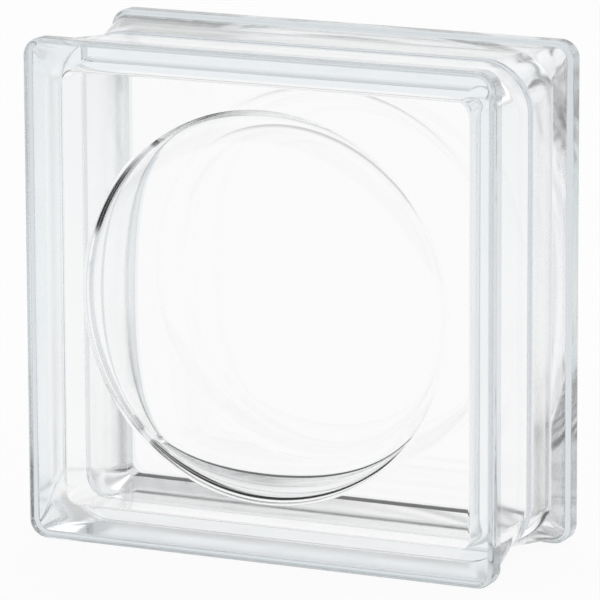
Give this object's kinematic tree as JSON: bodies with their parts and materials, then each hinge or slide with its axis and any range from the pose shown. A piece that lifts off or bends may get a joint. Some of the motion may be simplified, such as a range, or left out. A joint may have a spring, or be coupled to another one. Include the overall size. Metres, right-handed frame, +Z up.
{
  "type": "glass block",
  "caption": "Square hollow clear glass building block with flat panes, flange rims, recessed mortar sides and a round dish inside each pane.",
  "frame": {"origin": "centre of the block's foot, midway between the panes, on the plane that the lower rims stand on", "axes": "+Z up, +Y from the front pane to the back pane, +X to the right when the front pane is looked at"},
  "size_m": [0.19, 0.08, 0.19],
  "materials": {
    "clear_glass": "clear pressed glass, fire polished, with smooth flat panes"
  },
  "bodies": {
    "root": {"front_half": "clear_glass", "back_half": "clear_glass"}
  },
  "joints": []
}
